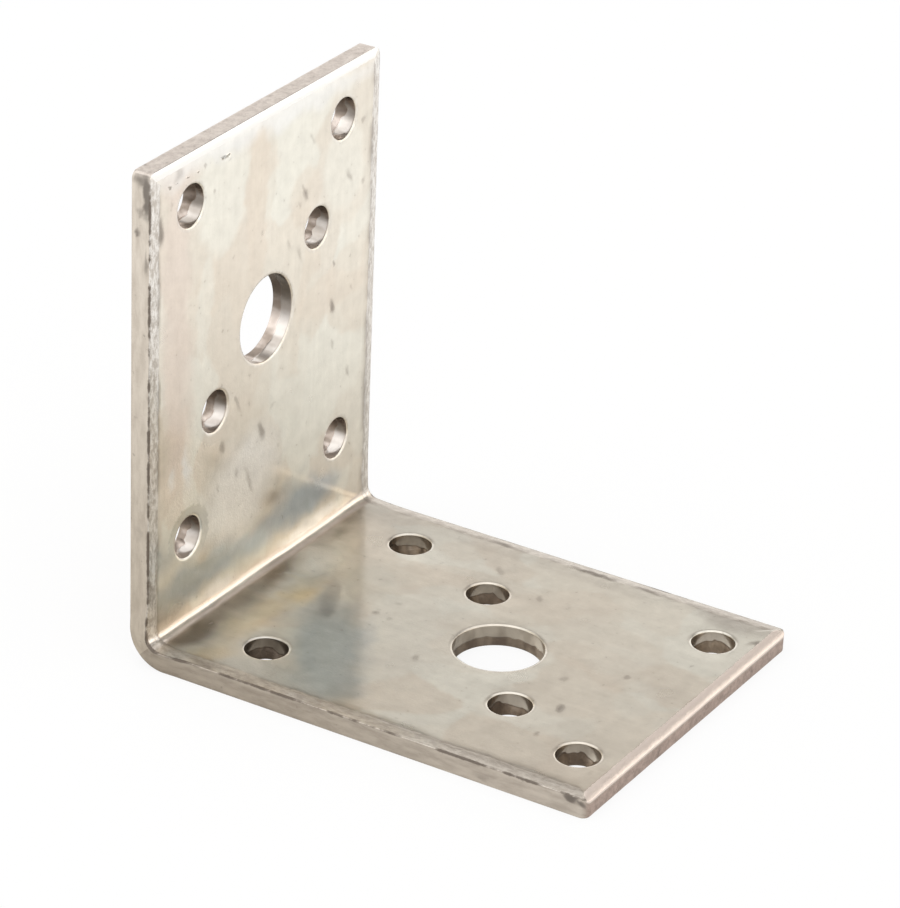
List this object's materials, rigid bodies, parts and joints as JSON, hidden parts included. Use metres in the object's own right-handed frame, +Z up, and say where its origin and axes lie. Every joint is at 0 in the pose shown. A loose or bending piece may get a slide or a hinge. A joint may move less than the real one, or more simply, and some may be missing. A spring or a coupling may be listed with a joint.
{
  "type": "angle bracket",
  "caption": "Folded right-angle bracket of zinc-coated steel plate, punched with nail holes and a bolt hole in each leg, for joining timbers at a corner.",
  "frame": {"origin": "middle of the footprint, on the plane that the base leg's underside lies on", "axes": "+Z up along the upright leg, +X along the base leg away from the fold, Y across the bracket along the fold"},
  "size_m": [0.0586, 0.0456, 0.0595],
  "materials": {
    "zinc_steel": "satin zinc-coated steel with soft mottled patches and faint rolling streaks; duller and rougher on the sheared edges"
  },
  "bodies": {
    "root": {"angle_bracket": "zinc_steel"}
  },
  "joints": []
}
